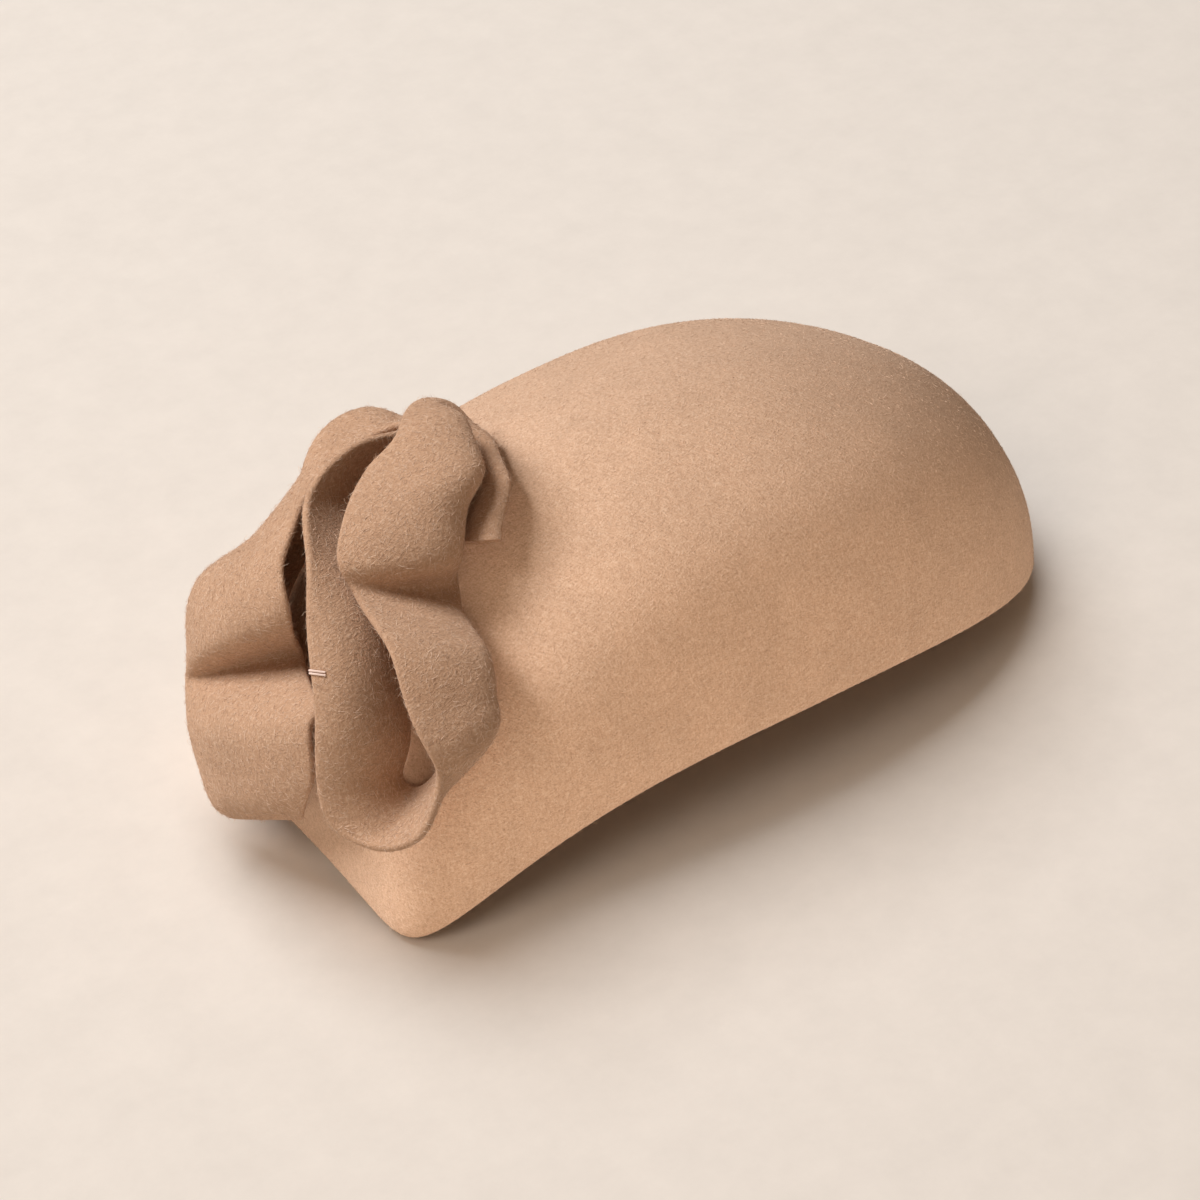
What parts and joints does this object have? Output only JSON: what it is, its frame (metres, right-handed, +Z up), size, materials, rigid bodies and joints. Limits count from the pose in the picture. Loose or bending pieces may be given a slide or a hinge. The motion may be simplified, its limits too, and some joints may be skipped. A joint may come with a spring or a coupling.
{
  "type": "cocktail hat",
  "caption": "Small felt cocktail hat: a smooth blocked crown, arched along its long sides, with a felt ruffle folded like a rosebud at its left end.",
  "frame": {"origin": "on the table, under the middle of the whole hat's box", "axes": "+X along the hat's length, away from the ruffle; +Z up; -Y is the near side in the picture"},
  "size_m": [0.2686, 0.14, 0.1098],
  "materials": {
    "felt": "matte wool felt with a fine nap"
  },
  "bodies": {
    "root": {"crown": "felt", "ruffle": "felt"}
  },
  "joints": []
}
